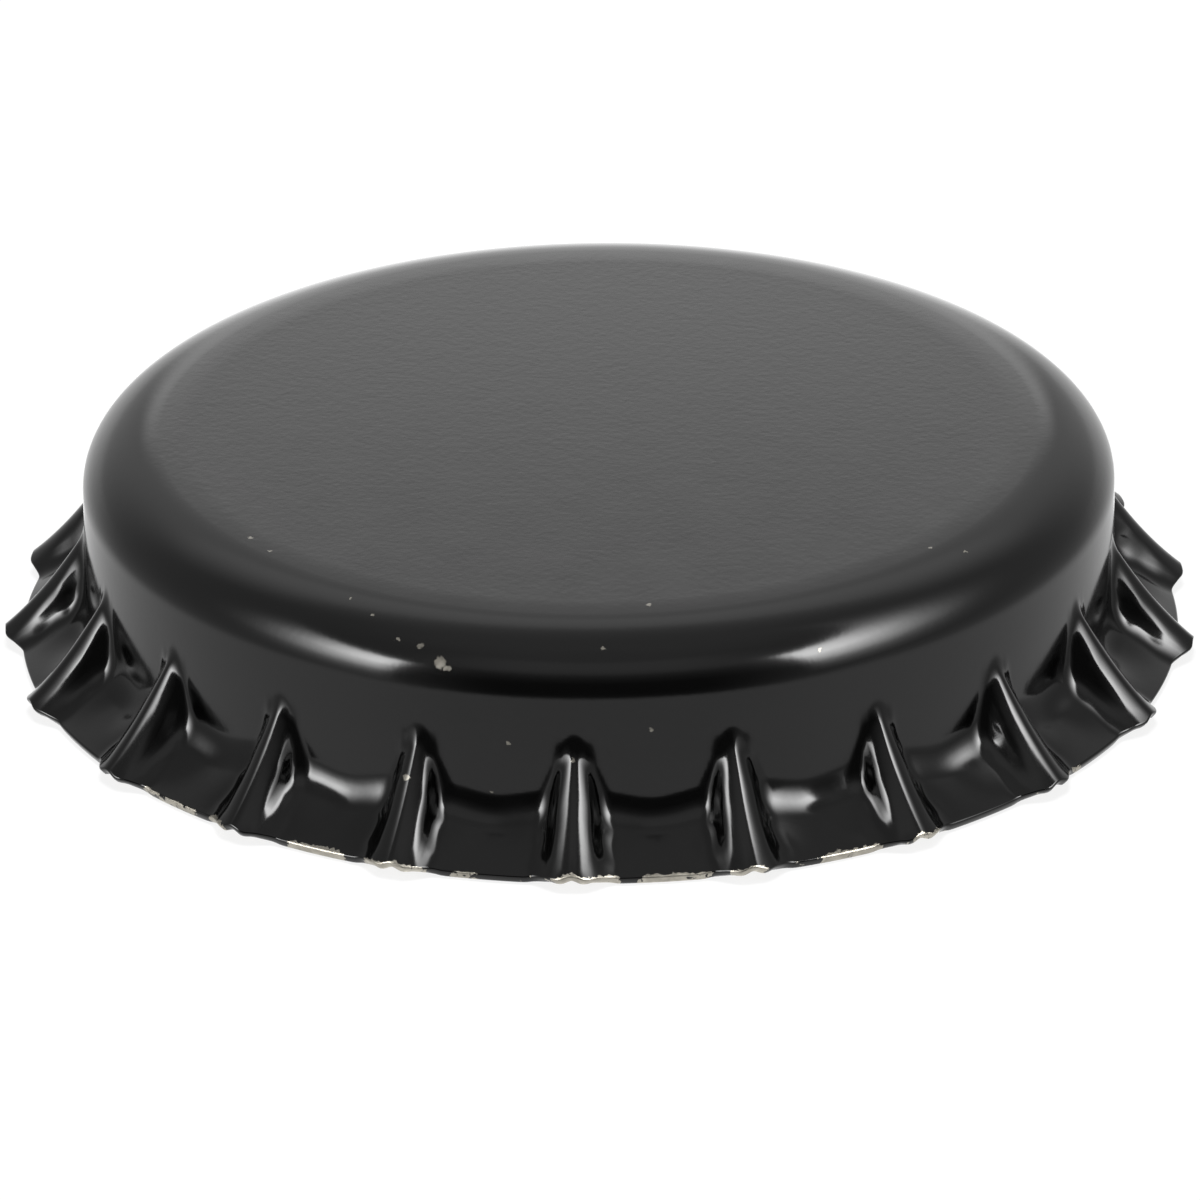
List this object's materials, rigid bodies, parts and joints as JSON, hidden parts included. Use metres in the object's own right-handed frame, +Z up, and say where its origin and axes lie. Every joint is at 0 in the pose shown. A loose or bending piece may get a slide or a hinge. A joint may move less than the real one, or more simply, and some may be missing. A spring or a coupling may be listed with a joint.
{
  "type": "bottle cap",
  "caption": "Shallow round lacquered metal cap with a fluted flared skirt and a moulded ring inside that seals a bottle mouth.",
  "frame": {"origin": "centre of the rim, on the surface that the cap stands on", "axes": "+Z up along the cap's axis, out of its flat top; +X through the crest of one rib"},
  "size_m": [0.032, 0.032, 0.0059],
  "materials": {
    "lacquered_steel": "gloss black lacquer on thin steel sheet, bare along the worn rim",
    "liner_plastic": "soft moulded sealing compound, pale and slightly waxy"
  },
  "bodies": {
    "root": {"cap_shell": "lacquered_steel", "sealing_liner": "liner_plastic"}
  },
  "joints": []
}
